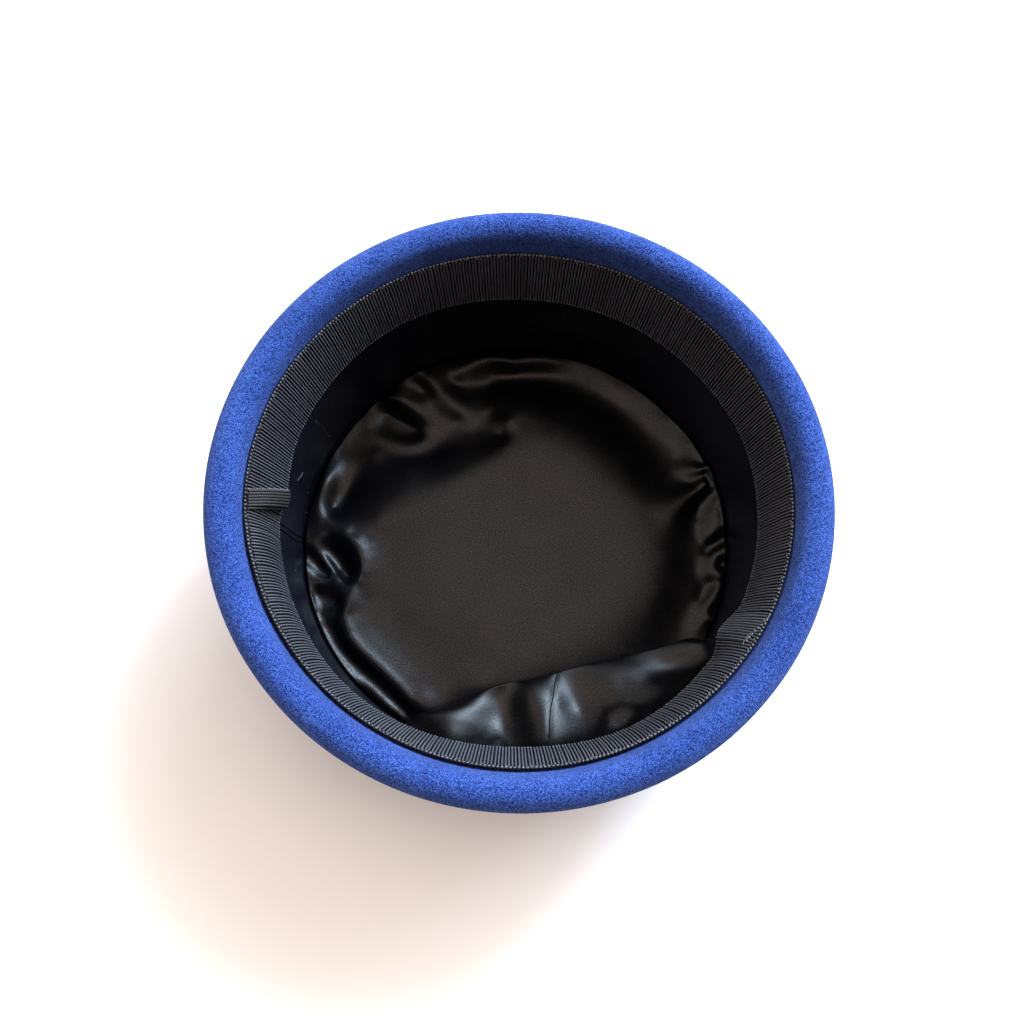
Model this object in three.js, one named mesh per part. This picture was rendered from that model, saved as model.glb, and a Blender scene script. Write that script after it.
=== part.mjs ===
// Pillbox hat of blue wool felt, lying crown down with its head opening up.
// Millimetres, +Z up. The flat crown tip rests on Z = 0 and Z is the hat's axis.
// The oval is longest along X. The tab on the ribbon marks the back of the hat, at -X.
// Bearings are degrees round the axis, counted from +X towards +Y.

import * as THREE from "three";
import { ParametricGeometry } from "three/addons/geometries/ParametricGeometry.js";

const { MathUtils, Vector2, Vector3 } = THREE;

// Driving dimensions: the felt shell
const HAT_LENGTH = 202;
const HAT_WIDTH = 198;
const HAT_HEIGHT = 86;
const FELT = 2.6;
const ROLL_RADIUS = 5.4;
const HEM_LENGTH = 15;
const HEM_LEAN = 12;
const CROWN_RADIUS = 90;
const CORNER_RADIUS = 12;

// Driving dimensions: the ribbon headband and its tab
const RIBBON_WIDTH = 25;
const RIBBON = 1;
const RIBBON_DROP = 3;
const TAB_TOP_BEARING = 181;
const TAB_END_BEARING = 176.6;
const TAB_WIDTH = 6.4;
const TAB = 1.2;
const TAB_RIBS = 5;
const TAB_RIB_HEIGHT = 0.4;
const TAB_START = 3;
const TAB_END = 24.6;
const TAB_LIFT = 0.5;

// Driving dimensions: the linings
const SIDE_LINING = 1;
const TIP_LINING = 1.2;
const TIP_RADIUS = 80.3;
const PLATEAU_HEIGHT = 9.6;
const HOLLOW_HEIGHT = 4.9;
const HOLLOW_LOWEST = 4.5;
const HOLLOW_FALL = 15;
const HOLLOW_OUTERMOST = 75;

// The space left between pieces that touch, the facets round the hat and those of small curves
const GAP = 0.3;
const FACETS = 72;
const ARC_STEPS = 3;
const RIB_STEPS = 4;

// Colours and roughness of the cloths
const FELT_BLUE = 0x3a5cb6;
const FELT_ROUGHNESS = 0.95;
const RIBBON_BLACK = 0x2a2c33;
const RIBBON_ROUGHNESS = 0.75;
const SIDE_LINING_BLACK = 0x15161c;
const SIDE_LINING_ROUGHNESS = 0.6;
const SATIN_BLACK = 0x262425;
const SATIN_ROUGHNESS = 0.35;

// How far the ribbon leans in from the vertical, in degrees, round the hat
const RIBBON_LEAN = [
  { bearing: 0, lean: 14 },
  { bearing: 16, lean: 12.6 },
  { bearing: 45, lean: 16 },
  { bearing: 85, lean: 18 },
  { bearing: 122, lean: 14.2 },
  { bearing: 160, lean: 16.5 },
  { bearing: 176, lean: 20.5 },
  { bearing: 183, lean: 15.5 },
  { bearing: 226, lean: 13.2 },
  { bearing: 270, lean: 19 },
  { bearing: 300, lean: 14.6 },
  { bearing: 321, lean: 15.5 },
  { bearing: 329, lean: 22.5 },
  { bearing: 338, lean: 15.5 },
];

// The side lining from its top, behind the ribbon, down to its seam with the tip:
// the wall's height and radius, the share of the loose fold's depth that each level takes,
// and how much the fold lifts it
const SIDE_LEVELS = [
  { height: 65.6, radius: 87, share: 0, lift: 0 },
  { height: 54, radius: 85.3, share: 0, lift: 0 },
  { height: 40, radius: 83.8, share: 0.02, lift: 0 },
  { height: 28, radius: 82.6, share: 0.08, lift: 0 },
  { height: 22.5, radius: 82.1, share: 0.42, lift: 0.6 },
  { height: 18.5, radius: 81.8, share: 0.78, lift: 1.2 },
  { height: 15, radius: 81.6, share: 0.97, lift: 1.8 },
  { height: 12.5, radius: 81.5, share: 1, lift: 1.8 },
  { height: 10.6, radius: 81.5, share: 0.92, lift: 1.8 },
  { height: 9, radius: 81.4, share: 0.45, lift: 1.5 },
  { height: 5, radius: 81.4, share: 0, lift: 4 },
];

// The loose fold: its crest runs almost straight between two bearings on the wall,
// bows inward a little and swells further at one place
const FOLD_START = 240;
const FOLD_END = 332;
const FOLD_BOW = 3;
const FOLD_SWELL = 3.6;
const FOLD_SWELL_BEARING = 258;
const FOLD_SWELL_REACH = 13;
const FOLD_WALL_RADIUS = 81.5;
const FOLD_LIFT_DEPTH = 8;

// Sections of the tip lining: how far out its flat middle reaches, and how high its edge stands
const TIP_SECTIONS = [
  { bearing: 6, plateau: 46, edge: 12 },
  { bearing: 20, plateau: 42, edge: 15.5 },
  { bearing: 36, plateau: 40, edge: 13 },
  { bearing: 60, plateau: 40, edge: 12.5 },
  { bearing: 80, plateau: 41, edge: 11 },
  { bearing: 99, plateau: 41, edge: 9.5 },
  { bearing: 128, plateau: 30, edge: 8 },
  { bearing: 146, plateau: 33, edge: 6 },
  { bearing: 163, plateau: 38, edge: 9 },
  { bearing: 180, plateau: 46, edge: 6 },
  { bearing: 190, plateau: 52, edge: 9 },
  { bearing: 205, plateau: 57, edge: 13 },
  { bearing: 222, plateau: 62, edge: 10 },
  { bearing: 240, plateau: 62, edge: 6 },
  { bearing: 286, plateau: 56, edge: 5.4 },
  { bearing: 332, plateau: 52, edge: 5.6 },
  { bearing: 350, plateau: 47, edge: 9 },
];

// Main folds of the gathered satin: a ridge (height above 0) or a hollow (height below 0)
// between two points, each given by its bearing and radius; width is half of its rounded section
const TIP_FOLDS = [
  { bearing: 185, radius: 72, toBearing: 185, toRadius: 58, width: 6.5, height: -3.5 },
  { bearing: 197, radius: 76, toBearing: 200, toRadius: 66, width: 4.5, height: -3 },
  { bearing: 188, radius: 79, toBearing: 196, toRadius: 58, width: 4, height: 2.5 },
  { bearing: 207, radius: 76, toBearing: 236, toRadius: 74, width: 4.5, height: -3 },
  { bearing: 203, radius: 64, toBearing: 236, toRadius: 67, width: 5, height: 2 },
  { bearing: 151, radius: 77, toBearing: 143, toRadius: 58, width: 5, height: 4 },
  { bearing: 143, radius: 58, toBearing: 112, toRadius: 54, width: 5.5, height: 4 },
  { bearing: 166, radius: 70, toBearing: 157, toRadius: 62, width: 6, height: -3 },
  { bearing: 134, radius: 70, toBearing: 126, toRadius: 57, width: 5, height: -3 },
  { bearing: 119, radius: 79, toBearing: 106, toRadius: 52, width: 5, height: 4 },
  { bearing: 130, radius: 79, toBearing: 134, toRadius: 68, width: 4, height: 3 },
  { bearing: 103, radius: 77, toBearing: 92, toRadius: 74, width: 5, height: 3 },
  { bearing: 84, radius: 78, toBearing: 34, toRadius: 76, width: 6, height: 2.5 },
  { bearing: 92, radius: 62, toBearing: 30, toRadius: 60, width: 8, height: -2 },
  { bearing: 20, radius: 80, toBearing: 22, toRadius: 66, width: 4, height: 4 },
  { bearing: 14, radius: 79, toBearing: 0, toRadius: 64, width: 5, height: -3 },
  { bearing: 355, radius: 58, toBearing: 338, toRadius: 64, width: 7, height: -2 },
];

// Rings of the tip lining's mesh, as shares of its radius
const TIP_RINGS = [0, 0.3, 0.5, 0.62, 0.7, 0.77, 0.83, 0.89, 0.94, 1];

const MEAN_RADIUS = (HAT_LENGTH + HAT_WIDTH) / 4;
const STRETCH_X = HAT_LENGTH / 2 / MEAN_RADIUS;
const STRETCH_Y = HAT_WIDTH / 2 / MEAN_RADIUS;
const HEM_ANGLE = MathUtils.degToRad(HEM_LEAN);
const ROLL_CENTRE = new Vector2(MEAN_RADIUS - ROLL_RADIUS, HAT_HEIGHT - ROLL_RADIUS);
const CORNER_CENTRE = new Vector2(CROWN_RADIUS - CORNER_RADIUS, CORNER_RADIUS);

// A point of the oval hat
function ovalPoint(radius, bearing, height) {
  const angle = MathUtils.degToRad(bearing);
  return new Vector3(
    radius * STRETCH_X * Math.cos(angle),
    radius * STRETCH_Y * Math.sin(angle),
    height,
  );
}

// One column of a table of bearings, eased from row to row round the hat
function around(rows, column, bearing) {
  const at = MathUtils.euclideanModulo(bearing, 360);
  const after = Math.max(0, rows.findIndex((row) => row.bearing > at));
  const right = rows[after];
  const left = rows.at(after - 1);
  const span = MathUtils.euclideanModulo(right.bearing - left.bearing, 360);
  const share = MathUtils.euclideanModulo(at - left.bearing, 360) / span;
  return MathUtils.lerp(left[column], right[column], MathUtils.smoothstep(share, 0, 1));
}

// A wall round the hat: section(bearing) lists its outline as points of radius and height,
// from the axis to the axis or closing on itself
function wallGeometry(section) {
  const steps = section(0).length - 1;
  const place = (u, v, target) => {
    const bearing = 360 * u;
    const point = section(bearing)[Math.round(v * steps)];
    target.copy(ovalPoint(point.x, bearing, point.y));
  };
  return new ParametricGeometry(place, FACETS, steps);
}

// The closed outline of a sheet of the given thickness along a line of section points
function sheetOutline(line, thickness) {
  const sides = line.map((point, i) => {
    const before = line[Math.max(0, i - 1)];
    const after = line[Math.min(line.length - 1, i + 1)];
    const run = after.clone().sub(before).normalize();
    return new Vector2(run.y, -run.x).multiplyScalar(thickness / 2);
  });
  const inner = line.map((point, i) => point.clone().add(sides[i]));
  const outer = line.map((point, i) => point.clone().sub(sides[i])).reverse();
  return [...inner, ...outer, inner[0]];
}

// Felt shell: flat tip, rounded corner, tapering side, edge rolled inward and ending as a hem
function feltGeometry() {
  const reach = ROLL_CENTRE.clone().sub(CORNER_CENTRE);
  const side = reach.angle() - Math.acos((CORNER_RADIUS - ROLL_RADIUS) / reach.length());
  const turn = Math.PI - HEM_ANGLE;
  const down = new Vector2(-Math.sin(HEM_ANGLE), -Math.cos(HEM_ANGLE)).multiplyScalar(HEM_LENGTH);
  const innerRoll = ROLL_RADIUS - FELT;
  const hemFace = new Vector2(Math.cos(turn), Math.sin(turn));
  const hemEnd = ROLL_CENTRE.clone().addScaledVector(hemFace, ROLL_RADIUS).add(down);
  const hemBack = ROLL_CENTRE.clone().addScaledVector(hemFace, innerRoll).add(down);
  const profile = new THREE.Path()
    .moveTo(0, 0)
    .lineTo(CORNER_CENTRE.x, 0)
    .absarc(CORNER_CENTRE.x, CORNER_CENTRE.y, CORNER_RADIUS, -Math.PI / 2, side, false)
    .absarc(ROLL_CENTRE.x, ROLL_CENTRE.y, ROLL_RADIUS, side, turn, false)
    .lineTo(hemEnd.x, hemEnd.y)
    .lineTo(hemBack.x, hemBack.y)
    .absarc(ROLL_CENTRE.x, ROLL_CENTRE.y, innerRoll, turn, side, true)
    .absarc(CORNER_CENTRE.x, CORNER_CENTRE.y, CORNER_RADIUS - FELT, side, -Math.PI / 2, true)
    .lineTo(0, FELT);
  const geometry = new THREE.LatheGeometry(profile.getPoints(ARC_STEPS), FACETS);
  return geometry.rotateX(Math.PI / 2).scale(STRETCH_X, STRETCH_Y, 1);
}

// A point of the ribbon: along is measured down from its upper edge, lift inward from its back
function ribbonPoint(bearing, along, lift) {
  const lean = MathUtils.degToRad(around(RIBBON_LEAN, "lean", bearing));
  const top = ROLL_CENTRE.clone()
    .add(new Vector2(-Math.cos(HEM_ANGLE), Math.sin(HEM_ANGLE)).multiplyScalar(ROLL_RADIUS + GAP))
    .add(new Vector2(-Math.sin(HEM_ANGLE), -Math.cos(HEM_ANGLE)).multiplyScalar(RIBBON_DROP));
  return top
    .add(new Vector2(-Math.sin(lean), -Math.cos(lean)).multiplyScalar(along))
    .add(new Vector2(-Math.cos(lean), Math.sin(lean)).multiplyScalar(lift));
}

// Headband: a ribbon sewn under the roll by its upper edge, leaning in by its own amount all round
function headbandGeometry() {
  const widths = [0, RIBBON_WIDTH / 2, RIBBON_WIDTH];
  return wallGeometry((bearing) => {
    const face = widths.map((along) => ribbonPoint(bearing, along, RIBBON));
    const back = widths.map((along) => ribbonPoint(bearing, along, 0)).reverse();
    return [...face, ...back, face[0]];
  });
}

// Tab: a narrow ribbed loop laid flat and a little askew across the headband
function tabMesh(material) {
  const pitch = TAB_WIDTH / TAB_RIBS;
  const outline = new THREE.Shape().moveTo(TAB_WIDTH / 2, 0).lineTo(TAB_WIDTH / 2, TAB);
  for (let rib = 0; rib < TAB_RIBS; rib += 1) {
    const start = TAB_WIDTH / 2 - rib * pitch;
    outline.quadraticCurveTo(start - pitch / 2, TAB + 2 * TAB_RIB_HEIGHT, start - pitch, TAB);
  }
  outline.lineTo(-TAB_WIDTH / 2, 0);
  const length = TAB_END - TAB_START;
  const settings = { depth: length, bevelEnabled: false, curveSegments: RIB_STEPS };
  const tab = new THREE.Mesh(new THREE.ExtrudeGeometry(outline, settings), material);

  // The ribbon leans in most near the tab's free end, and the tab lies clear of it there
  const start = ribbonPoint(TAB_END_BEARING, TAB_START, RIBBON + TAB_LIFT);
  const end = ribbonPoint(TAB_END_BEARING, TAB_END, RIBBON + TAB_LIFT);
  const origin = ovalPoint(start.x, TAB_TOP_BEARING, start.y);
  const downward = ovalPoint(end.x, TAB_END_BEARING, end.y).sub(origin).normalize();
  const inward = ovalPoint(-1, (TAB_TOP_BEARING + TAB_END_BEARING) / 2, 0);
  inward.addScaledVector(downward, -inward.dot(downward)).normalize();
  const across = new Vector3().crossVectors(inward, downward);
  tab.setRotationFromMatrix(new THREE.Matrix4().makeBasis(across, inward, downward));
  tab.position.copy(origin);
  return tab;
}

// Depth of the loose fold of the side lining: from the wall in to a straight, slightly bowed crest
function foldDepth(bearing) {
  const half = (FOLD_END - FOLD_START) / 2;
  const off = Math.abs(bearing - (FOLD_START + FOLD_END) / 2);
  if (off >= half) {
    return 0;
  }
  const chord = FOLD_WALL_RADIUS * Math.cos(MathUtils.degToRad(half)) / Math.cos(MathUtils.degToRad(off));
  const swell = FOLD_SWELL * Math.exp(-(((bearing - FOLD_SWELL_BEARING) / FOLD_SWELL_REACH) ** 2));
  return FOLD_WALL_RADIUS - chord + (FOLD_BOW + swell) * (1 - (off / half) ** 2);
}

// Side lining: a thin wall from behind the ribbon down to the tip, with the loose fold on one side
function sideLiningGeometry() {
  return wallGeometry((bearing) => {
    const depth = foldDepth(bearing);
    const lifted = MathUtils.smoothstep(depth, 0, FOLD_LIFT_DEPTH);
    const line = SIDE_LEVELS.map((level) =>
      new Vector2(level.radius - level.share * depth, level.height + level.lift * lifted));
    return sheetOutline(line, SIDE_LINING);
  });
}

// Height that one fold of the satin adds at a point of its plan
function foldHeight(fold, point) {
  const start = ovalPoint(fold.radius, fold.bearing, 0);
  const run = ovalPoint(fold.toRadius, fold.toBearing, 0).sub(start);
  const share = MathUtils.clamp(point.clone().sub(start).dot(run) / run.lengthSq(), 0, 1);
  const distance = start.addScaledVector(run, share).distanceTo(point);
  return fold.height * Math.exp(-((distance / fold.width) ** 2));
}

// Top of the satin: a flat middle that falls to a hollow and rises to its edge, with its folds
function satinHeight(radius, bearing) {
  const plateau = around(TIP_SECTIONS, "plateau", bearing);
  const edge = around(TIP_SECTIONS, "edge", bearing);
  const hollow = Math.min(plateau + HOLLOW_FALL, HOLLOW_OUTERMOST);
  const fall = MathUtils.smoothstep(radius, plateau, hollow);
  const rise = MathUtils.smoothstep(radius, hollow, TIP_RADIUS);
  const point = ovalPoint(radius, bearing, 0);
  const folds = TIP_FOLDS.reduce((sum, fold) => sum + foldHeight(fold, point), 0);
  const plain = MathUtils.lerp(PLATEAU_HEIGHT, HOLLOW_HEIGHT, fall) + (edge - HOLLOW_HEIGHT) * rise;
  return Math.max(HOLLOW_LOWEST, plain + folds);
}

// Tip lining: satin laid on the crown tip and gathered all round to the side lining
function tipLiningGeometry() {
  return wallGeometry((bearing) => {
    const radii = TIP_RINGS.map((share) => share * TIP_RADIUS);
    const top = radii.map((radius) => new Vector2(radius, satinHeight(radius, bearing)));
    const bottom = top.map((point) => new Vector2(point.x, point.y - TIP_LINING));
    return [...bottom, ...top.reverse()];
  });
}

function cloth(color, roughness) {
  return new THREE.MeshStandardMaterial({ color, roughness, metalness: 0 });
}

function named(mesh, name) {
  mesh.name = name;
  return mesh;
}

const felt = cloth(FELT_BLUE, FELT_ROUGHNESS);
const ribbon = cloth(RIBBON_BLACK, RIBBON_ROUGHNESS);
const sideCloth = cloth(SIDE_LINING_BLACK, SIDE_LINING_ROUGHNESS);
const satin = cloth(SATIN_BLACK, SATIN_ROUGHNESS);

const hat = new THREE.Group();
hat.add(
  named(new THREE.Mesh(feltGeometry(), felt), "felt_shell"),
  named(new THREE.Mesh(headbandGeometry(), ribbon), "headband"),
  named(tabMesh(ribbon), "band_tab"),
  named(new THREE.Mesh(sideLiningGeometry(), sideCloth), "side_lining"),
  named(new THREE.Mesh(tipLiningGeometry(), satin), "tip_lining"),
);

export default hat;
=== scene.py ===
import math

import bmesh
import bpy
import numpy as np
from mathutils import Matrix, Vector


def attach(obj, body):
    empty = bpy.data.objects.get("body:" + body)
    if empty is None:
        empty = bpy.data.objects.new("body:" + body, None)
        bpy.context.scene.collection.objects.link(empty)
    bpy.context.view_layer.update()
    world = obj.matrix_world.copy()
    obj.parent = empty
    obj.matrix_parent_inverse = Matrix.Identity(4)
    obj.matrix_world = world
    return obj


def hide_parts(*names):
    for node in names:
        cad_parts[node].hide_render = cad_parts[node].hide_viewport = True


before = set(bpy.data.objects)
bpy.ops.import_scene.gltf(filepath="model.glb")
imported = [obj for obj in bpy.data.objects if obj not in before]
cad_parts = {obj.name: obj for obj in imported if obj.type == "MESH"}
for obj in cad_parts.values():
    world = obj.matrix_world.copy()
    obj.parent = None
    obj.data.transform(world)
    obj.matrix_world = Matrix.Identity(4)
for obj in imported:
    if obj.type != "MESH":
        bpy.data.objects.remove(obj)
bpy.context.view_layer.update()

# Felt shell: the hat's body, one piece of royal blue wool felt blocked to a flat tip and a tapering side.
# Its edge is rolled inward into a fat round lip, and the end of the roll is a hem behind the ribbon.
# Sizes are in millimetres here and in every section; bearings are degrees from +X towards +Y.
MM = 0.001
HAT_LENGTH = 202
HAT_WIDTH = 198
HAT_HEIGHT = 86
FELT = 2.6
ROLL_RADIUS = 5.4
HEM_LENGTH = 15
HEM_ANGLE = math.radians(12)
CROWN_RADIUS = 90
CORNER_RADIUS = 12
FELT_STEPS_ROUND = 320
FELT_RIPPLE = 0.35
FELT_SHADOW_BLUE = (0.0046, 0.014, 0.096, 1)
FELT_BLUE = (0.016, 0.0465, 0.226, 1)
FELT_TIP_BLUE = (0.059, 0.136, 0.495, 1)

MEAN_RADIUS = (HAT_LENGTH + HAT_WIDTH) / 4
STRETCH_X = HAT_LENGTH / 2 / MEAN_RADIUS
STRETCH_Y = HAT_WIDTH / 2 / MEAN_RADIUS
ROLL_CENTRE = np.array([MEAN_RADIUS - ROLL_RADIUS, HAT_HEIGHT - ROLL_RADIUS])
CORNER_CENTRE = np.array([CROWN_RADIUS - CORNER_RADIUS, CORNER_RADIUS])


def heading(angle):
    return np.array([math.cos(angle), math.sin(angle)])


def arc(centre, radius, start, end, steps):
    return [centre + radius * heading(turn) for turn in np.linspace(start, end, steps + 1)]


def line(start, end, steps):
    return [start + (end - start) * share for share in np.linspace(0, 1, steps + 1)]


def felt_profile():
    """Half section of the shell, from the axis along its outside to the hem and back along its inside."""
    reach = ROLL_CENTRE - CORNER_CENTRE
    side = math.atan2(reach[1], reach[0]) - math.acos((CORNER_RADIUS - ROLL_RADIUS) / np.hypot(*reach))
    turn = math.pi - HEM_ANGLE
    hem = HEM_LENGTH * np.array([-math.sin(HEM_ANGLE), -math.cos(HEM_ANGLE)])
    corner = arc(CORNER_CENTRE, CORNER_RADIUS, -math.pi / 2, side, 12)
    roll = arc(ROLL_CENTRE, ROLL_RADIUS, side, turn, 28)
    inner_roll = arc(ROLL_CENTRE, ROLL_RADIUS - FELT, turn, side, 10)
    inner_corner = arc(CORNER_CENTRE, CORNER_RADIUS - FELT, side, -math.pi / 2, 6)
    return np.array([
        *line(np.array([0.0, 0.0]), corner[0], 14)[:-1],
        *corner,
        *line(corner[-1], roll[0], 22)[1:-1],
        *roll,
        *line(roll[-1], roll[-1] + hem, 6)[1:],
        *line(inner_roll[0] + hem, inner_roll[0], 2)[:-1],
        *inner_roll,
        *inner_corner,
        np.array([0.0, FELT]),
    ])


def new_tree(name, inputs):
    """An empty geometry tree with a geometry input, named inputs for sizes and a geometry output."""
    tree = bpy.data.node_groups.new(name, "GeometryNodeTree")
    tree.interface.new_socket("Geometry", in_out="INPUT", socket_type="NodeSocketGeometry")
    for label, kind in inputs.items():
        tree.interface.new_socket(label, in_out="INPUT", socket_type=kind)
    tree.interface.new_socket("Geometry", in_out="OUTPUT", socket_type="NodeSocketGeometry")
    return tree


def add_node(tree, kind, links=(), **settings):
    """A node with its settings, its inputs set to plain values or linked from other nodes' outputs."""
    node = tree.nodes.new(kind)
    for key, value in settings.items():
        setattr(node, key, value)
    for socket, source in dict(links).items():
        if isinstance(source, bpy.types.NodeSocket):
            tree.links.new(source, node.inputs[socket])
        else:
            node.inputs[socket].default_value = source
    return node


def maths(tree, operation, *values):
    """The outcome of one step of arithmetic on plain numbers or other nodes' outputs."""
    return add_node(tree, "ShaderNodeMath", dict(enumerate(values)), operation=operation).outputs[0]


def end_tree(tree, geometry, material):
    """Smooth shading, then the realized result with its material, as the tree's output."""
    smooth = add_node(tree, "GeometryNodeSetShadeSmooth", {"Geometry": geometry})
    real = add_node(tree, "GeometryNodeRealizeInstances", {"Geometry": smooth.outputs["Geometry"]})
    dressed = add_node(tree, "GeometryNodeSetMaterial", {
        "Geometry": real.outputs[0], "Material": material})
    add_node(tree, "NodeGroupOutput", {"Geometry": dressed.outputs["Geometry"]})


def polyline_mesh(name, lines):
    """A mesh of edges along lines of points in millimetres."""
    lines = np.asarray(lines, float)
    count, steps = lines.shape[:2]
    index = np.arange(count * steps).reshape(count, steps)
    edges = np.stack([index[:, :-1], index[:, 1:]], -1).reshape(-1, 2)
    mesh = bpy.data.meshes.new(name)
    mesh.from_pydata((lines.reshape(-1, 3) * MM).tolist(), edges.tolist(), [])
    return mesh


def grow(name, mesh, tree, values):
    """The plain mesh object that a geometry tree makes of a mesh."""
    piece = bpy.data.objects.new(name, mesh)
    bpy.context.scene.collection.objects.link(piece)
    modifier = piece.modifiers.new(tree.name, "NODES")
    modifier.node_group = tree
    for item in tree.interface.items_tree:
        if item.in_out == "INPUT" and item.name in values:
            modifier[item.identifier] = values[item.name]
    depsgraph = bpy.context.evaluated_depsgraph_get()
    plain = bpy.data.meshes.new_from_object(
        piece.evaluated_get(depsgraph), preserve_all_data_layers=True, depsgraph=depsgraph)
    piece.modifiers.clear()
    piece.data = plain
    plain.name = name
    return piece


def turned_tree():
    """Turns a half section round the axis into an oval shell, with a slight ripple of its radius."""
    tree = new_tree("turned_shell", {
        "Steps Round": "NodeSocketInt", "Steps Along": "NodeSocketInt",
        "Stretch X": "NodeSocketFloat", "Stretch Y": "NodeSocketFloat",
        "Ripple": "NodeSocketFloat", "Seed": "NodeSocketFloat", "Material": "NodeSocketMaterial"})
    given = add_node(tree, "NodeGroupInput").outputs
    grid = add_node(tree, "GeometryNodeMeshGrid", {
        "Size X": 1, "Size Y": 1,
        "Vertices X": maths(tree, "ADD", given["Steps Round"], 1),
        "Vertices Y": maths(tree, "ADD", given["Steps Along"], 1)})
    place = add_node(tree, "GeometryNodeInputPosition").outputs[0]
    share = add_node(tree, "ShaderNodeSeparateXYZ", {0: place}).outputs
    turn = add_node(tree, "ShaderNodeMapRange", {
        "Value": share["X"], "From Min": -0.5, "From Max": 0.5, "To Min": 0, "To Max": math.tau}).outputs[0]
    row = add_node(tree, "ShaderNodeMapRange", {
        "Value": share["Y"], "From Min": -0.5, "From Max": 0.5, "To Max": given["Steps Along"]})
    whole = add_node(tree, "FunctionNodeFloatToInt", {0: row.outputs[0]}, rounding_mode="ROUND")
    section = add_node(tree, "GeometryNodeSampleIndex", {
        "Geometry": given["Geometry"], "Value": place, "Index": whole.outputs[0]}, data_type="FLOAT_VECTOR")
    point = add_node(tree, "ShaderNodeSeparateXYZ", {0: section.outputs[0]}).outputs
    cosine = maths(tree, "COSINE", turn)
    sine = maths(tree, "SINE", turn)
    direction = add_node(tree, "ShaderNodeCombineXYZ", {"X": cosine, "Y": sine})
    wave = add_node(tree, "ShaderNodeTexNoise", {
        "Vector": direction.outputs[0], "W": given["Seed"], "Scale": 2.5, "Detail": 1},
        noise_dimensions="4D")
    swing = maths(tree, "SUBTRACT", wave.outputs[0], 0.5)
    ripple = maths(tree, "MULTIPLY", swing, given["Ripple"])
    radius = maths(tree, "MULTIPLY_ADD", point["X"], ripple, point["X"])
    x = maths(tree, "MULTIPLY", radius, cosine)
    y = maths(tree, "MULTIPLY", radius, sine)
    there = add_node(tree, "ShaderNodeCombineXYZ", {
        "X": maths(tree, "MULTIPLY", x, given["Stretch X"]),
        "Y": maths(tree, "MULTIPLY", y, given["Stretch Y"]),
        "Z": point["Z"]})
    shaped = add_node(tree, "GeometryNodeSetPosition", {
        "Geometry": grid.outputs["Mesh"], "Position": there.outputs[0]})
    closed = add_node(tree, "GeometryNodeMergeByDistance", {
        "Geometry": shaped.outputs[0], "Distance": 0.001 * MM})
    end_tree(tree, closed.outputs[0], given["Material"])
    return tree


def new_material(name):
    material = bpy.data.materials.new(name)
    material.use_nodes = True
    return material, material.node_tree, material.node_tree.nodes["Principled BSDF"]


def felt_material():
    """Matted wool: short crossing fibres, lighter at their tips and darker between, with a soft sheen."""
    material, tree, shader = new_material("blue_wool_felt")
    place = add_node(tree, "ShaderNodeTexCoord").outputs["Object"]
    fibres = add_node(tree, "ShaderNodeTexNoise", {
        "Vector": place, "Scale": 2600, "Detail": 2, "Roughness": 0.6, "Distortion": 0.6})
    tangle = add_node(tree, "ShaderNodeTexNoise", {
        "Vector": place, "Scale": 1150, "Detail": 1, "Roughness": 0.5, "Distortion": 0.3})
    strands = maths(tree, "SINE", maths(tree, "MULTIPLY", tangle.outputs[0], 17))
    curls = add_node(tree, "ShaderNodeMapRange", {
        "Value": strands, "From Min": -1, "From Max": 1, "To Min": 0.25, "To Max": 0.75})
    wear = add_node(tree, "ShaderNodeTexNoise", {"Vector": place, "Scale": 60, "Detail": 3})
    mixed = add_node(tree, "ShaderNodeMix", {
        "Factor": 0.3, "A": fibres.outputs[0], "B": curls.outputs[0]})
    shade = add_node(tree, "ShaderNodeMix", {"Factor": 0.14, "A": mixed.outputs[0], "B": wear.outputs[0]})
    ramp = add_node(tree, "ShaderNodeValToRGB", {0: shade.outputs[0]})
    stops = ramp.color_ramp.elements
    stops[0].position, stops[0].color = 0.37, FELT_SHADOW_BLUE
    stops[1].position, stops[1].color = 0.64, FELT_TIP_BLUE
    middle = stops.new(0.5)
    middle.color = FELT_BLUE
    bump = add_node(tree, "ShaderNodeBump", {
        "Height": mixed.outputs[0], "Strength": 0.9, "Distance": 0.0011})
    tree.links.new(ramp.outputs[0], shader.inputs["Base Color"])
    tree.links.new(bump.outputs[0], shader.inputs["Normal"])
    finish = {
        "Roughness": 0.95, "Specular IOR Level": 0.15,
        "Sheen Weight": 0.1, "Sheen Roughness": 0.45, "Sheen Tint": (0.45, 0.6, 1, 1)}
    for socket, value in finish.items():
        shader.inputs[socket].default_value = value
    return material


felt_cloth = felt_material()
profile = felt_profile()
section = np.column_stack([profile[:, 0], np.zeros(len(profile)), profile[:, 1]])
felt_shell = grow("felt_body", polyline_mesh("felt_section", section[None]), turned_tree(), {
    "Steps Round": FELT_STEPS_ROUND, "Steps Along": len(profile) - 1,
    "Stretch X": STRETCH_X, "Stretch Y": STRETCH_Y,
    "Ripple": FELT_RIPPLE / MEAN_RADIUS, "Seed": 3.0, "Material": felt_cloth})
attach(felt_shell, "root")
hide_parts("felt_shell")

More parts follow.
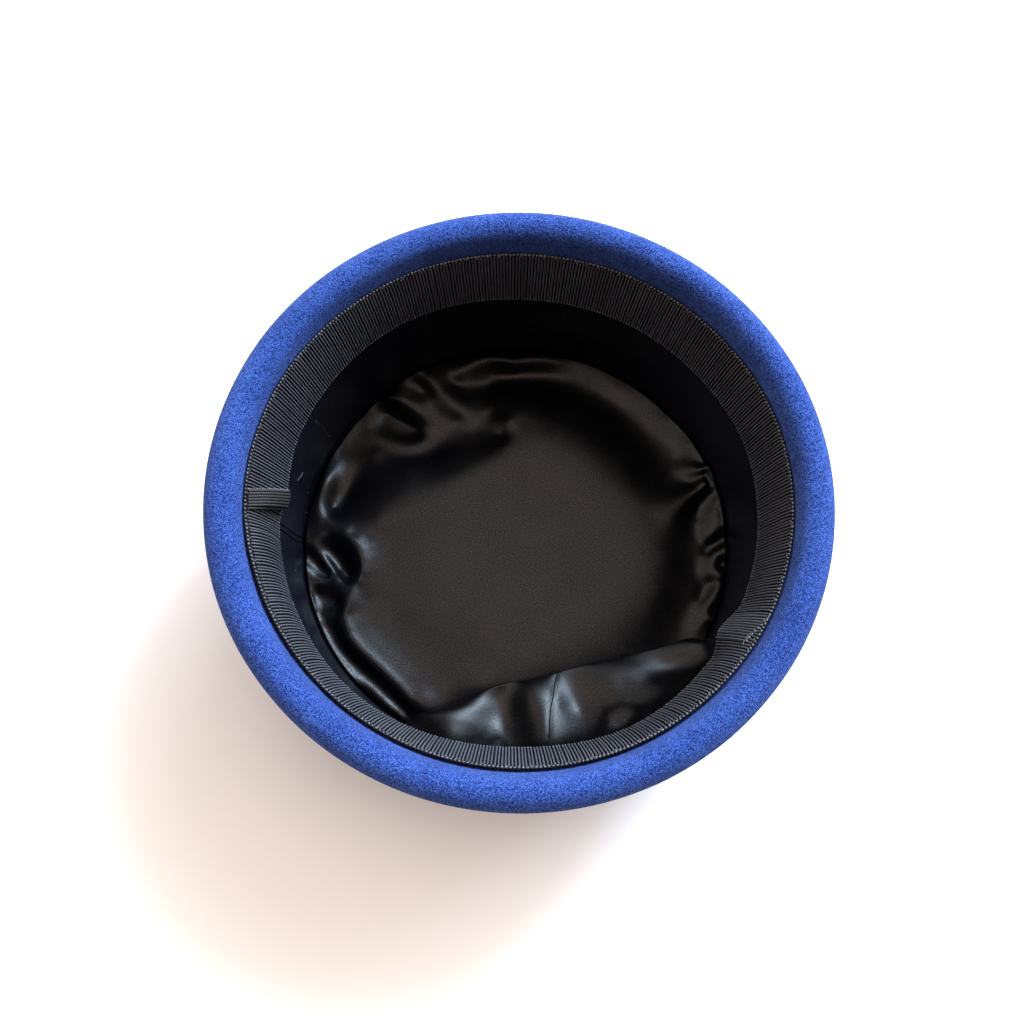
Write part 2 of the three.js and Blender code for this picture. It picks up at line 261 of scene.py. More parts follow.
# Headband: a 25 mm grosgrain ribbon, stiff black weft cords wrapped by fine warp, with a knotted selvedge.
# It is sewn inside the roll by its upper edge and leans inward free below it. Its ends overlap at one side,
# where the upper end drops away from the felt under a few loose threads.
GAP = 0.3
RIBBON_WIDTH = 25
RIBBON_DROP = 3
RIBBON_CORE = 0.14
CORE_COLUMNS = 460
CORE_ROWS = 15
CORE_TOP = 0.5
CORE_FOOT = RIBBON_WIDTH - 0.2
RIBBON_BACK = 0.1
RIBBON_MIDDLE = 0.54
CORD_PITCH = 1.09
CORD_RADIUS = 0.29
CORD_STEPS = 10
CORD_WANDER = 0.035
SELVEDGE = 1.75
KNOT_PITCH = 1.3
KNOT_ALONG = 0.75
LOWER_EDGE_ALONG = RIBBON_WIDTH - 0.1
STITCH_TURN = math.degrees(3.9 / MEAN_RADIUS) * 1.12
STITCH_ALONG = 1.05
STITCH_LIFT = 0.42
JOIN_UPPER_END = 326.5
JOIN_UNDER_END = 333
JOIN_FADE = 7
JOIN_DROP = 3.2
JOIN_LIFT = 0.6
# The two ground colours are painted shade: the ribbon's core, seen in the gaps between the cords, is
# darkened below the ribbon's own black.
GROUND_PAINTED_SHADE = (0.0012, 0.0012, 0.0018, 1)
GROUND_PAINTED_SHADE_PALE = (0.006, 0.0062, 0.008, 1)
RIBBON_BLACK = (0.036, 0.0395, 0.051, 1)
RIBBON_GREY = (0.11, 0.119, 0.148, 1)
THREAD_GREY = (0.085, 0.088, 0.085, 1)
RIBBON_SHAPE = [
    dict(bearing=0, lean=14.0, bow=0.5, drop=0.4),
    dict(bearing=16, lean=12.6, bow=0.5, drop=0.4),
    dict(bearing=45, lean=16.0, bow=0.4, drop=1.4),
    dict(bearing=85, lean=18.0, bow=0.3, drop=2.2),
    dict(bearing=122, lean=14.2, bow=0.4, drop=1.2),
    dict(bearing=160, lean=16.5, bow=0.6, drop=0.2),
    dict(bearing=176, lean=20.5, bow=0.4, drop=0),
    dict(bearing=183, lean=15.5, bow=1.0, drop=0),
    dict(bearing=189, lean=15.2, bow=2.8, drop=0),
    dict(bearing=200, lean=14.6, bow=2.4, drop=0.8),
    dict(bearing=226, lean=13.2, bow=1.2, drop=2.6),
    dict(bearing=270, lean=19.0, bow=0.5, drop=3),
    dict(bearing=300, lean=14.6, bow=1.1, drop=2),
    dict(bearing=321, lean=15.5, bow=1.5, drop=0.9),
    dict(bearing=329, lean=22.5, bow=0.9, drop=0.6),
    dict(bearing=338, lean=15.5, bow=0.9, drop=0.5),
]


def smoothstep(value, low=0.0, high=1.0):
    share = np.clip((value - low) / (high - low), 0, 1)
    return share * share * (3 - 2 * share)


def around_hat(rows, column, bearing):
    """One column of a table of bearings, eased from row to row round the hat."""
    at = np.array([row["bearing"] for row in rows], float)
    value = np.array([row[column] for row in rows], float)
    bearing = np.mod(bearing, 360)
    after = np.searchsorted(at, bearing, side="right")
    left, right = (after - 1) % len(at), after % len(at)
    share = np.mod(bearing - at[left], 360) / np.mod(at[right] - at[left], 360)
    return value[left] + (value[right] - value[left]) * smoothstep(share)


def oval_points(radius, bearing, height):
    angle = np.radians(bearing)
    return np.stack(np.broadcast_arrays(
        radius * STRETCH_X * np.cos(angle), radius * STRETCH_Y * np.sin(angle), height), -1)


def ribbon_points(bearing, along, lift):
    """Points of the ribbon: along is down from its upper edge, lift is inward from its back."""
    lean = np.radians(around_hat(RIBBON_SHAPE, "lean", bearing))
    bow = around_hat(RIBBON_SHAPE, "bow", bearing)
    along = along + around_hat(RIBBON_SHAPE, "drop", bearing) * (1 - along / RIBBON_WIDTH)
    swell = bow * np.sin(math.pi * np.clip(along / RIBBON_WIDTH, 0, 1) ** 0.75)
    top = ROLL_CENTRE + (ROLL_RADIUS + GAP) * heading(math.pi - HEM_ANGLE)
    top = top - RIBBON_DROP * np.array([math.sin(HEM_ANGLE), math.cos(HEM_ANGLE)])
    inward = lift + swell
    radius = top[0] - np.sin(lean) * along - np.cos(lean) * inward
    height = top[1] - np.cos(lean) * along + np.sin(lean) * inward
    return oval_points(radius, bearing, height)


def strip_points(turn, along, lift):
    """Points of the whole strip, counted in degrees from its upper end round to its under end."""
    near_end = 1 - smoothstep(turn, 0, JOIN_FADE)
    drop = JOIN_DROP * near_end * (1 - along / RIBBON_WIDTH)
    return ribbon_points(JOIN_UPPER_END + turn, along + drop, lift + JOIN_LIFT * near_end)


def thin_sheet(name, face, back, uv, material, ring=False):
    """A closed thin sheet between two grids of points in millimetres, rows down and columns along it."""
    rows, columns = face.shape[:2]
    index = np.arange(rows * columns).reshape(rows, columns)
    if ring:
        index = np.hstack([index, index[:, :1]])
    cells = np.stack([index[:-1, :-1], index[:-1, 1:], index[1:, 1:], index[1:, :-1]], -1).reshape(-1, 4)
    spots = np.stack([uv[:-1, :-1], uv[:-1, 1:], uv[1:, 1:], uv[1:, :-1]], 2).reshape(-1, 4, 2)
    rims = [index[0], index[-1][::-1]]
    rim_spots = [uv[0], uv[-1][::-1]]
    if not ring:
        rims += [index[::-1, 0], index[:, -1]]
        rim_spots += [uv[::-1, 0], uv[:, -1]]
    under = rows * columns
    faces = [cells, cells[:, ::-1] + under]
    places = [spots, spots[:, ::-1]]
    for rim, spot in zip(rims, rim_spots):
        faces.append(np.stack([rim[1:], rim[:-1], rim[:-1] + under, rim[1:] + under], -1))
        places.append(np.stack([spot[1:], spot[:-1], spot[:-1], spot[1:]], 1))
    points = np.concatenate([face.reshape(-1, 3), back.reshape(-1, 3)]) * MM
    mesh = bpy.data.meshes.new(name)
    mesh.from_pydata(points.tolist(), [], np.concatenate(faces).tolist())
    layer = mesh.uv_layers.new(name="cloth")
    layer.data.foreach_set("uv", (np.concatenate(places) * MM).ravel())
    shape = bmesh.new()
    shape.from_mesh(mesh)
    bmesh.ops.remove_doubles(shape, verts=shape.verts, dist=0.001 * MM)
    bmesh.ops.recalc_face_normals(shape, faces=shape.faces)
    shape.to_mesh(mesh)
    shape.free()
    mesh.polygons.foreach_set("use_smooth", [True] * len(mesh.polygons))
    mesh.materials.append(material)
    piece = bpy.data.objects.new(name, mesh)
    bpy.context.scene.collection.objects.link(piece)
    return piece


def woven_grain_group():
    """Threads crossing at right angles and uneven dyeing, for any of the woven cloths."""
    group = bpy.data.node_groups.new("woven_grain", "ShaderNodeTree")
    group.interface.new_socket("Place", in_out="INPUT", socket_type="NodeSocketVector")
    for label in ("Threads Per Metre", "Mottle Scale"):
        group.interface.new_socket(label, in_out="INPUT", socket_type="NodeSocketFloat")
    for label in ("Threads", "Mottle"):
        group.interface.new_socket(label, in_out="OUTPUT", socket_type="NodeSocketFloat")
    given = add_node(group, "NodeGroupInput").outputs
    pitch = add_node(group, "ShaderNodeVectorMath", {0: given["Place"]}, operation="SCALE")
    group.links.new(given["Threads Per Metre"], pitch.inputs["Scale"])
    slubs = add_node(group, "ShaderNodeTexNoise", {
        "Vector": pitch.outputs[0], "Scale": 0.35, "Detail": 2})
    warp, weft = (
        add_node(group, "ShaderNodeTexWave", {
            "Vector": pitch.outputs[0], "Scale": 0.5, "Distortion": 0.6, "Detail Scale": 0.3},
            bands_direction=direction)
        for direction in "XY")
    crossed = maths(group, "MULTIPLY", warp.outputs[1], weft.outputs[1])
    uneven = add_node(group, "ShaderNodeMix", {"Factor": 0.45, "A": crossed, "B": slubs.outputs[0]})
    mottle = add_node(group, "ShaderNodeTexNoise", {
        "Vector": given["Place"], "Scale": given["Mottle Scale"], "Detail": 3, "Roughness": 0.55})
    add_node(group, "NodeGroupOutput", {"Threads": uneven.outputs[0], "Mottle": mottle.outputs[0]})
    return group


woven_grain = woven_grain_group()


def cloth_material(name, dark, light, place, threads, mottle, roughness, relief):
    """A woven cloth: two tones through its mottle and threads, with the threads raised in its bump."""
    material, tree, shader = new_material(name)
    where = add_node(tree, "ShaderNodeTexCoord").outputs[place]
    grain = add_node(tree, "ShaderNodeGroup", node_tree=woven_grain)
    tree.links.new(where, grain.inputs["Place"])
    grain.inputs["Threads Per Metre"].default_value = threads
    grain.inputs["Mottle Scale"].default_value = mottle
    both = add_node(tree, "ShaderNodeMix", {
        "Factor": 0.5, "A": grain.outputs["Threads"], "B": grain.outputs["Mottle"]})
    tone = add_node(tree, "ShaderNodeMix", {
        "Factor": both.outputs[0], "A": dark, "B": light}, data_type="RGBA")
    polish = add_node(tree, "ShaderNodeMapRange", {
        "Value": grain.outputs["Mottle"], "From Min": 0.3, "From Max": 0.7,
        "To Min": roughness - 0.05, "To Max": roughness + 0.05})
    bump = add_node(tree, "ShaderNodeBump", {
        "Height": grain.outputs["Threads"], "Strength": relief, "Distance": 0.0002})
    tree.links.new(tone.outputs[2], shader.inputs["Base Color"])
    tree.links.new(polish.outputs[0], shader.inputs["Roughness"])
    tree.links.new(bump.outputs[0], shader.inputs["Normal"])
    return material, shader


def new_cord_tree():
    """Sweeps a round section along every line, closed at its ends."""
    tree = new_tree("cords_along_lines", {
        "Cord Radius": "NodeSocketFloat", "Sides": "NodeSocketInt", "Material": "NodeSocketMaterial"})
    given = add_node(tree, "NodeGroupInput").outputs
    lines = add_node(tree, "GeometryNodeMeshToCurve", {"Mesh": given["Geometry"]})
    ring = add_node(tree, "GeometryNodeCurvePrimitiveCircle", {
        "Resolution": given["Sides"], "Radius": given["Cord Radius"]})
    cords = add_node(tree, "GeometryNodeCurveToMesh", {
        "Curve": lines.outputs[0], "Profile Curve": ring.outputs[0], "Fill Caps": True})
    end_tree(tree, cords.outputs[0], given["Material"])
    return tree


def new_stitch_tree():
    """Sets one small rounded stitch on every point, turned to the point's own direction."""
    tree = new_tree("stitches_on_points", {
        "Length": "NodeSocketFloat", "Thickness": "NodeSocketFloat", "Uneven": "NodeSocketFloat",
        "Seed": "NodeSocketInt", "Material": "NodeSocketMaterial"})
    given = add_node(tree, "NodeGroupInput").outputs
    bead = add_node(tree, "GeometryNodeMeshUVSphere", {"Segments": 7, "Rings": 5, "Radius": 0.5})
    size = add_node(tree, "ShaderNodeCombineXYZ", {
        "X": given["Length"], "Y": given["Thickness"], "Z": given["Thickness"]})
    stitch = add_node(tree, "GeometryNodeTransform", {
        "Geometry": bead.outputs["Mesh"], "Scale": size.outputs[0]})
    run = add_node(tree, "GeometryNodeInputNamedAttribute", {"Name": "run"}, data_type="FLOAT_VECTOR")
    facing = add_node(tree, "FunctionNodeAlignRotationToVector", {"Vector": run.outputs[0]}, axis="X")
    chance = add_node(tree, "FunctionNodeRandomValue", {
        2: maths(tree, "SUBTRACT", 1, given["Uneven"]),
        3: maths(tree, "ADD", 1, given["Uneven"]),
        "Seed": given["Seed"]}, data_type="FLOAT")
    points = add_node(tree, "GeometryNodeMeshToPoints", {"Mesh": given["Geometry"]})
    placed = add_node(tree, "GeometryNodeInstanceOnPoints", {
        "Points": points.outputs[0], "Instance": stitch.outputs[0],
        "Rotation": facing.outputs[0], "Scale": chance.outputs[1]})
    end_tree(tree, placed.outputs[0], given["Material"])
    return tree


cord_tree = new_cord_tree()
stitch_tree = new_stitch_tree()


def swept_cords(name, lines, radius, sides, material):
    """Round cords along lines of points in millimetres."""
    return grow(name, polyline_mesh(name + "_lines", lines), cord_tree, {
        "Cord Radius": radius * MM, "Sides": sides, "Material": material})


def sewn_stitches(name, places, runs, length, thickness, uneven, seed, material):
    """Small rounded stitches or knots at points in millimetres, each lying along its own direction."""
    mesh = bpy.data.meshes.new(name + "_places")
    mesh.from_pydata((places * MM).tolist(), [], [])
    layer = mesh.attributes.new("run", "FLOAT_VECTOR", "POINT")
    layer.data.foreach_set("vector", runs.ravel())
    return grow(name, mesh, stitch_tree, {
        "Length": length * MM, "Thickness": thickness * MM, "Uneven": uneven, "Seed": seed,
        "Material": material})


grosgrain, grosgrain_shader = cloth_material(
    "black_grosgrain", RIBBON_BLACK, RIBBON_GREY,
    place="Object", threads=4200, mottle=90, roughness=0.5, relief=0.4)
grosgrain_shader.inputs["Specular IOR Level"].default_value = 1.0
# The core sheet behind the cords is near black as painted shade in the gaps between the cords, not as the
# ribbon's own colour.
ground_painted_shade_cloth, ground_painted_shade_shader = cloth_material(
    "ribbon_ground_painted_shade", GROUND_PAINTED_SHADE, GROUND_PAINTED_SHADE_PALE,
    place="UV", threads=4200, mottle=90, roughness=0.7, relief=0.2)
ground_painted_shade_shader.inputs["Specular IOR Level"].default_value = 0.15
thread, _ = cloth_material(
    "grey_sewing_thread", RIBBON_GREY, THREAD_GREY,
    place="Object", threads=9000, mottle=300, roughness=0.5, relief=0.4)

strip_turn = 360 + JOIN_UNDER_END - JOIN_UPPER_END
strip_length = math.radians(strip_turn) * (ROLL_CENTRE[0] - ROLL_RADIUS - RIBBON_DROP)
turns = np.linspace(0, strip_turn, CORE_COLUMNS)[None, :]
alongs = np.linspace(CORE_TOP, CORE_FOOT, CORE_ROWS)[:, None]
core_uv = np.stack(np.broadcast_arrays(np.radians(turns) * MEAN_RADIUS, alongs), -1)
headband = thin_sheet(
    "ribbon_core",
    strip_points(turns, alongs, RIBBON_BACK + RIBBON_CORE / 2),
    strip_points(turns, alongs, RIBBON_BACK - RIBBON_CORE / 2),
    core_uv, ground_painted_shade_cloth)

cord_count = round(strip_length / CORD_PITCH)
cord_turns = np.linspace(0, strip_turn, cord_count)
cord_turns[1:-1] += np.random.default_rng(11).normal(0, CORD_WANDER, cord_count - 2)
cord_alongs = np.linspace(SELVEDGE, RIBBON_WIDTH, CORD_STEPS)[None, :]
cord_lines = strip_points(cord_turns[:, None], cord_alongs, RIBBON_MIDDLE)
cords = swept_cords("ribbon_cords", cord_lines, radius=CORD_RADIUS, sides=6, material=grosgrain)


def strip_runs(turn, along, sideways, down):
    """Directions on the strip's face at places on it, as shares of a step along it and of one down it."""
    total = 0
    for share, turn_step, along_step in ((sideways, 0.05, 0), (down, 0, 0.1)):
        ahead = strip_points(turn + turn_step, along + along_step, RIBBON_MIDDLE)
        behind = strip_points(turn - turn_step, along - along_step, RIBBON_MIDDLE)
        total = total + share * (ahead - behind) / np.linalg.norm(ahead - behind, axis=-1, keepdims=True)
    return total


knot_turns = np.linspace(0, strip_turn, round(strip_length / KNOT_PITCH))
selvedge = sewn_stitches(
    "ribbon_selvedge", strip_points(knot_turns, KNOT_ALONG, RIBBON_MIDDLE),
    strip_runs(knot_turns, KNOT_ALONG, 1, 0.5),
    length=1.02, thickness=0.76, uneven=0.2, seed=5, material=grosgrain)
lower_edge = sewn_stitches(
    "ribbon_lower_edge", strip_points(cord_turns, LOWER_EDGE_ALONG, RIBBON_MIDDLE),
    strip_runs(cord_turns, LOWER_EDGE_ALONG, 0, 1),
    length=0.8, thickness=0.72, uneven=0.15, seed=9, material=grosgrain)
stitch_turns = np.arange(0.4, strip_turn - 0.4, STITCH_TURN)
stitches = sewn_stitches(
    "ribbon_stitches", strip_points(stitch_turns, STITCH_ALONG, RIBBON_MIDDLE + STITCH_LIFT),
    strip_runs(stitch_turns, STITCH_ALONG, 0.6, 1),
    length=1.3, thickness=0.3, uneven=0.15, seed=8, material=thread)

LOOSE_THREADS = [
    [(0.2, 0.5, 0.8), (0.7, 1.1, 1.1), (1.4, 1.3, 1.1), (2, 0.9, 0.8)],
    [(0.4, 0.9, 0.8), (-0.1, 1.3, 1), (-0.7, 1.2, 0.9), (-1.2, 0.7, 0.6)],
]


def eased_line(points, steps):
    """A smooth line through a few points, as evenly many places along it."""
    points = np.asarray(points, float)
    ends = np.concatenate([[2 * points[0] - points[1]], points, [2 * points[-1] - points[-2]]])
    at = np.linspace(0, len(points) - 1 - 1e-6, steps)
    i = at.astype(int)
    t = (at - i)[:, None]
    a, b, c, d = ends[i], ends[i + 1], ends[i + 2], ends[i + 3]
    bend = t ** 2 * (a - 2.5 * b + 2 * c - d / 2) + t ** 3 * (1.5 * (b - c) + (d - a) / 2)
    return b + t * (c - a) / 2 + bend


thread_lines = np.array([strip_points(*eased_line(points, 14).T) for points in LOOSE_THREADS])
loose_threads = swept_cords("loose_threads", thread_lines, radius=0.12, sides=5, material=thread)

for piece in (headband, cords, selvedge, lower_edge, stitches, loose_threads):
    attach(piece, "root")
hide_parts("headband")

# Side lining: the dark lining cloth that stands as a wall between the ribbon and the crown tip. It is sewn
# behind the ribbon above and to the satin below, in panels joined by plain seams. On the near side it is
# slack and sags inward as one long loose fold.
SIDE_LINING = 0.8
SIDE_COLUMNS = 640
SIDE_ROWS = 66
FOLD_START = 240
FOLD_END = 332
FOLD_BOW = 3
FOLD_SWELL = 3.6
FOLD_SWELL_BEARING = 258
FOLD_SWELL_REACH = 13
FOLD_WALL_RADIUS = 81.5
FOLD_LIFT_DEPTH = 8
FOLD_CREST_RADIUS = 62
FOLD_LINE_STEP = 4
FOLD_SLACK = 0.02
SIDE_DEPTH = 68
LINING_BLACK = (0.0022, 0.0026, 0.006, 1)
LINING_NAVY = (0.0056, 0.0063, 0.0138, 1)
FOLD_BLACK = (0.0014, 0.0012, 0.0014, 1)
# Near black for the seam cords: painted shade of the seams' grooves.
SEAM_PAINTED_SHADE = (0.0004, 0.0004, 0.0005, 1)
SIDE_LEVELS = [
    dict(height=65.6, radius=87.0, share=0.00, lift=0.0),
    dict(height=54.0, radius=85.3, share=0.00, lift=0.0),
    dict(height=40.0, radius=83.8, share=0.02, lift=0.0),
    dict(height=28.0, radius=82.6, share=0.08, lift=0.0),
    dict(height=20.5, radius=82.1, share=0.42, lift=0.6),
    dict(height=17.0, radius=81.8, share=0.78, lift=1.2),
    dict(height=14.6, radius=81.6, share=0.98, lift=1.8),
    dict(height=13.7, radius=81.5, share=1.00, lift=1.8),
    dict(height=10.6, radius=81.5, share=0.92, lift=1.8),
    dict(height=9.0, radius=81.4, share=0.45, lift=1.5),
    dict(height=5.2, radius=81.4, share=0.00, lift=3.0),
    dict(height=3.6, radius=80.4, share=0.00, lift=0.0),
]

FOLD_RISES = {
    "crest": [
        (236, 0.5, 0), (241, 0.53, 0), (250, 0.56, 0), (262, 0.58, 0), (275, 0.58, 0), (290, 0.58, 0),
        (305, 0.57, 0), (318, 0.52, 0), (328, 0.4, 0), (336, 0.3, 0)],
    "left ridge": [
        (242, 0.5, 1.2), (243.5, 0.45, 2.6), (246, 0.4, 3.1), (249.5, 0.34, 3), (252.5, 0.28, 2.2)],
    "hollow at the left end": [
        (239, 0.43, -1.2), (241.5, 0.375, -1.8), (244.5, 0.335, -2), (247.5, 0.28, -1.6)],
    "dark valley": [
        (263.5, 0.5, -1.6), (265.5, 0.445, -2.8), (267, 0.395, -3.2), (268.6, 0.34, -3),
        (270, 0.28, -2.6)],
    "shoulder beside it": [
        (272.5, 0.5, 1.2), (274, 0.445, 2.4), (275.4, 0.395, 2.8), (276.4, 0.34, 2.6), (277.8, 0.28, 2)],
    "light stretch": [(282.5, 0.46, 1.4), (282.5, 0.4, 2), (282, 0.33, 1.6)],
    "pocket": [(287.6, 0.43, -0.8), (288.6, 0.385, -1.6)],
    "smooth stretch": [(300, 0.46, 0.8), (301, 0.4, 1.4), (308, 0.4, 1.4), (311, 0.33, 1)],
    "right end": [(314, 0.36, -0.4), (318, 0.33, -2.2), (322, 0.3, -3.6), (327, 0.28, -3.8)],
    "behind the ribbon": [(236, 0.2, 0), (262, 0.2, 0), (288, 0.2, 0), (314, 0.2, 0), (336, 0.2, 0)],
}
FOLD_CREASES = {
    "seam": dict(height=-0.3, width=0.9, path=[(285, 0.53), (282.4, 0.446), (280, 0.385), (278.2, 0.3)]),
    "pucker": dict(height=1, width=2.4, path=[(292.5, 0.28), (296, 0.325), (300, 0.32), (303, 0.27)]),
    "its dimple": dict(height=-1, width=2, path=[(296.4, 0.265), (298.6, 0.275)]),
    "small loop": dict(height=0.6, width=1.5, path=[
        (263, 0.305), (264.5, 0.325), (266.5, 0.315), (267.5, 0.29)]),
    "small crease": dict(height=0.5, width=1.5, path=[(258, 0.29), (260, 0.315)]),
}


def plate_kernel(distance):
    return distance ** 2 * np.log(np.maximum(distance, 1e-6))


def bent_plate(lines, step, slack, places):
    """Heights, at places in a plane, of a thin springy sheet bent through lines of points above it."""
    held = []
    for points in lines:
        held.append(points[:1])
        for start, end in zip(points[:-1], points[1:]):
            parts = max(1, int(np.ceil(np.linalg.norm(end - start) / step)))
            held.append(start + (end - start) * (np.arange(1, parts + 1) / parts)[:, None])
    held = np.concatenate(held)
    spots, heights = held[:, :2] / MEAN_RADIUS, held[:, 2]
    count = len(spots)
    level = np.column_stack([np.ones(count), spots])
    system = np.zeros((count + 3, count + 3))
    system[:count, :count] = plate_kernel(np.linalg.norm(spots[:, None] - spots[None], axis=-1))
    system[:count, :count] += slack * np.eye(count) / count
    system[:count, count:] = level
    system[count:, :count] = level.T
    weights = np.linalg.solve(system, np.concatenate([heights, np.zeros(3)]))
    bent = np.zeros(places.shape[:-1])
    for row, place in enumerate(places / MEAN_RADIUS):
        away = np.linalg.norm(place[:, None] - spots[None], axis=-1)
        bent[row] = plate_kernel(away) @ weights[:count] + weights[count] + place @ weights[count + 1:]
    return bent


def fold_depth(bearing):
    """How far the loose fold's crest stands in from the wall, along its straight, slightly bowed run."""
    half = (FOLD_END - FOLD_START) / 2
    off = np.minimum(np.abs(np.mod(bearing, 360) - (FOLD_START + FOLD_END) / 2), half)
    chord = FOLD_WALL_RADIUS * math.cos(math.radians(half)) / np.cos(np.radians(off))
    swell = FOLD_SWELL * np.exp(-((np.mod(bearing, 360) - FOLD_SWELL_BEARING) / FOLD_SWELL_REACH) ** 2)
    return FOLD_WALL_RADIUS - chord + (FOLD_BOW + swell) * (1 - (off / half) ** 2)


def level_column(column, share):
    """One column of the levels, as a smooth curve from the top of the lining to its foot."""
    value = np.array([level[column] for level in SIDE_LEVELS], float)
    at = share * (len(value) - 1)
    i = np.clip(np.floor(at).astype(int), 0, len(value) - 2)
    t = at - i
    before, after = value[np.maximum(i - 1, 0)], value[np.minimum(i + 2, len(value) - 1)]
    left, right = value[i], value[i + 1]
    rise_left, rise_right = (right - before) / 2, (after - left) / 2
    return ((2 * t ** 3 - 3 * t ** 2 + 1) * left + (t ** 3 - 2 * t ** 2 + t) * rise_left
            + (3 * t ** 2 - 2 * t ** 3) * right + (t ** 3 - t ** 2) * rise_right)


def side_points(bearing, share):
    depth = fold_depth(bearing)
    lifted = smoothstep(depth, 0, FOLD_LIFT_DEPTH)
    radius = level_column("radius", share) - level_column("share", share) * depth
    height = level_column("height", share) + level_column("lift", share) * lifted
    return oval_points(radius, bearing, height)


def thickened(points, thickness, ring=False):
    """The two faces of a sheet whose middle is a grid of points."""
    if ring:
        along = np.roll(points, -1, 1) - np.roll(points, 1, 1)
    else:
        along = np.gradient(points, axis=1)
    normal = np.cross(along, np.gradient(points, axis=0))
    normal /= np.maximum(np.linalg.norm(normal, axis=-1, keepdims=True), 1e-9)
    return points + normal * thickness / 2, points - normal * thickness / 2


def folds_on(points, surface, folds):
    """Heights that a table of folds adds to a grid of points: a rounded ridge or hollow along each path."""
    total = np.zeros(points.shape[:-1])
    for fold in folds.values():
        way = np.array([surface(*place) for place in fold["path"]])
        nearest = np.full(total.shape, np.inf)
        for start, end in zip(way[:-1], way[1:]):
            run = end - start
            share = np.clip(((points - start) @ run) / (run @ run), 0, 1)
            off = points - start - share[..., None] * run
            nearest = np.minimum(nearest, np.linalg.norm(off, axis=-1))
        total += fold["height"] * np.exp(-(nearest / fold["width"]) ** 2)
    return total


def fold_rise(bearing, share):
    """How far the loose fold's cloth stands out from its plain shape, fading at the fold's borders."""
    lines = []
    for row in FOLD_RISES.values():
        bearings, shares, heights = np.array(row, float).T
        runs = np.radians(bearings) * FOLD_CREST_RADIUS
        lines.append(np.stack([runs, shares * SIDE_DEPTH, heights], -1))
    run = np.radians(bearing) * FOLD_CREST_RADIUS
    places = np.stack(np.broadcast_arrays(run, share * SIDE_DEPTH), -1)
    left = smoothstep(bearing, FOLD_START - 2, FOLD_START + 4)
    right = 1 - smoothstep(bearing, FOLD_END - 6, FOLD_END)
    down = smoothstep(share, 0.2, 0.27) * (1 - smoothstep(share, 0.58, 0.66))
    return bent_plate(lines, FOLD_LINE_STEP, FOLD_SLACK, places) * left * right * down


def grained_gloss(material, shader, gloss, grain):
    """Lets the strength of a cloth's gloss vary from float to float of its threads."""
    tree = material.node_tree
    place = add_node(tree, "ShaderNodeTexCoord").outputs["UV"]
    floats = add_node(tree, "ShaderNodeTexNoise", {
        "Vector": place, "Scale": 2300, "Detail": 1, "Roughness": 0.6})
    strength = add_node(tree, "ShaderNodeMapRange", {
        "Value": floats.outputs[0], "From Min": 0.3, "From Max": 0.7,
        "To Min": gloss * (1 - grain), "To Max": gloss * (1 + grain)})
    tree.links.new(strength.outputs[0], shader.inputs["Specular IOR Level"])


def silky_fold(material, shader):
    """Turns the cloth of the loose fold to its blacker face, going by the cloth's own UV."""
    tree = material.node_tree
    place = add_node(tree, "ShaderNodeTexCoord").outputs["UV"]
    run = add_node(tree, "ShaderNodeSeparateXYZ", {0: place}).outputs["X"]
    degree = math.radians(1) * FOLD_WALL_RADIUS * MM
    left, right = (
        add_node(tree, "ShaderNodeMapRange", {
            "Value": run, "From Min": plain_at * degree, "From Max": silky_at * degree},
            interpolation_type="SMOOTHSTEP")
        for plain_at, silky_at in ((FOLD_START - 4, FOLD_START + 4), (FOLD_END + 2, FOLD_END - 6)))
    plain = shader.inputs["Base Color"].links[0].from_socket
    slack = maths(tree, "MULTIPLY", left.outputs[0], right.outputs[0])
    tone = add_node(tree, "ShaderNodeMix", {
        "Factor": slack, "A": plain, "B": FOLD_BLACK}, data_type="RGBA")
    tree.links.new(tone.outputs[2], shader.inputs["Base Color"])


lining_cloth, lining_shader = cloth_material(
    "dark_lining_cloth", LINING_BLACK, LINING_NAVY,
    place="UV", threads=3000, mottle=140, roughness=0.32, relief=0.12)
grained_gloss(lining_cloth, lining_shader, gloss=0.245, grain=0.5)
silky_fold(lining_cloth, lining_shader)
side_bearings = np.linspace(0, 360, SIDE_COLUMNS, endpoint=False)[None, :]
side_shares = np.linspace(0, 1, SIDE_ROWS)[:, None]
side_plain = side_points(side_bearings, side_shares)
side_lift = fold_rise(side_bearings, side_shares) + folds_on(side_plain, side_points, FOLD_CREASES)
side_out, side_in = thickened(side_plain, 2.0, ring=True)
side_middle = side_plain + (side_out - side_in) / 2 * side_lift[..., None]
side_face, side_back = thickened(side_middle, SIDE_LINING, ring=True)
side_runs = np.radians(np.linspace(0, 360, SIDE_COLUMNS + 1))[None, :] * FOLD_WALL_RADIUS
side_uv = np.stack(np.broadcast_arrays(side_runs, SIDE_DEPTH * side_shares), -1)
side_lining = thin_sheet("side_wall", side_face, side_back, side_uv, lining_cloth, ring=True)

LINING_SEAMS = [
    [(180.3, 0.15), (180.3, 0.277), (179.9, 0.46), (179, 0.9)],
    [(181.9, 0.15), (181.9, 0.277), (181.4, 0.46), (180.2, 0.9)],
    FOLD_CREASES["seam"]["path"],
]
LINING_STITCHES = [(151.9, 0.2), (151.3, 0.26), (150.8, 0.45)]
LINT_FIBRE = [(164.4, 0.272), (165.2, 0.27), (166.4, 0.258), (167.4, 0.246)]
LINT_SPECKS = [(173.2, 0.9), (190.1, 0.323), (167.1, 0.631), (172, 0.8), (192.5, 0.36)]


